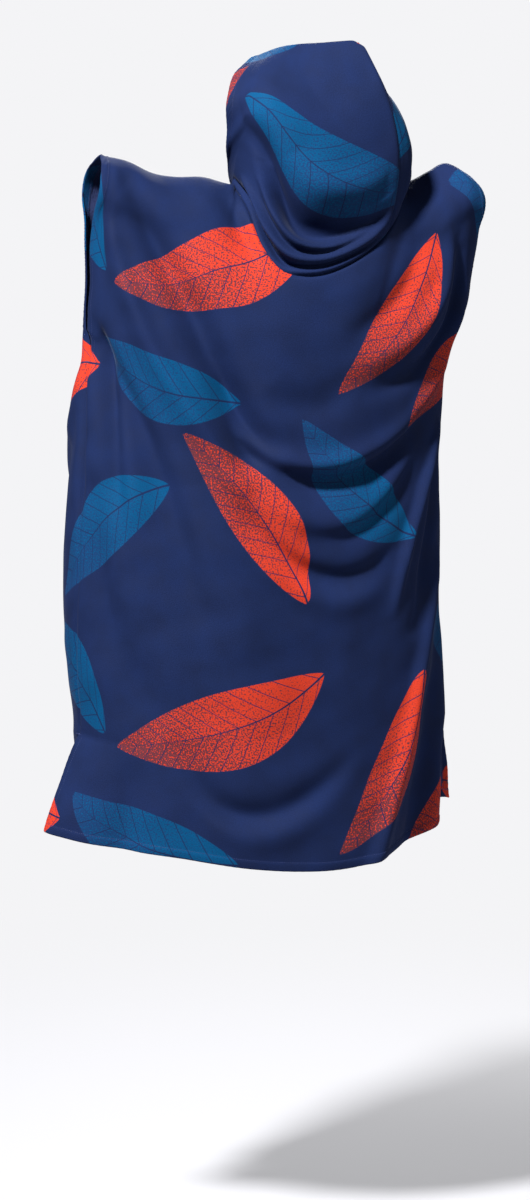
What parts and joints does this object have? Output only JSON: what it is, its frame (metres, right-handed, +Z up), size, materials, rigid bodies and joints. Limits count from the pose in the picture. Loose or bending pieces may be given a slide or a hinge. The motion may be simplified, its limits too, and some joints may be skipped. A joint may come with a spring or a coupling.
{
  "type": "hooded bath poncho",
  "caption": "Hooded microfibre bath poncho as worn: a straight body with open armholes and side slits, and its hood held up over the head.",
  "frame": {"origin": "where the wearer's shoulders hold it up: midway between the two shoulder seams, at the height where they meet the neck", "axes": "+Z up, +X towards the wearer's left, +Y towards the wearer's back, so that the front faces -Y"},
  "size_m": [0.6645, 0.3484, 1.1855],
  "materials": {
    "back": "smooth brushed microfibre, navy ground",
    "front": "smooth brushed microfibre, navy ground",
    "hood_left": "smooth brushed microfibre, navy ground",
    "hood_right": "smooth brushed microfibre, navy ground"
  },
  "bodies": {
    "root": {"back": "back", "front": "front", "hood_left": "hood_left", "hood_right": "hood_right"}
  },
  "joints": []
}
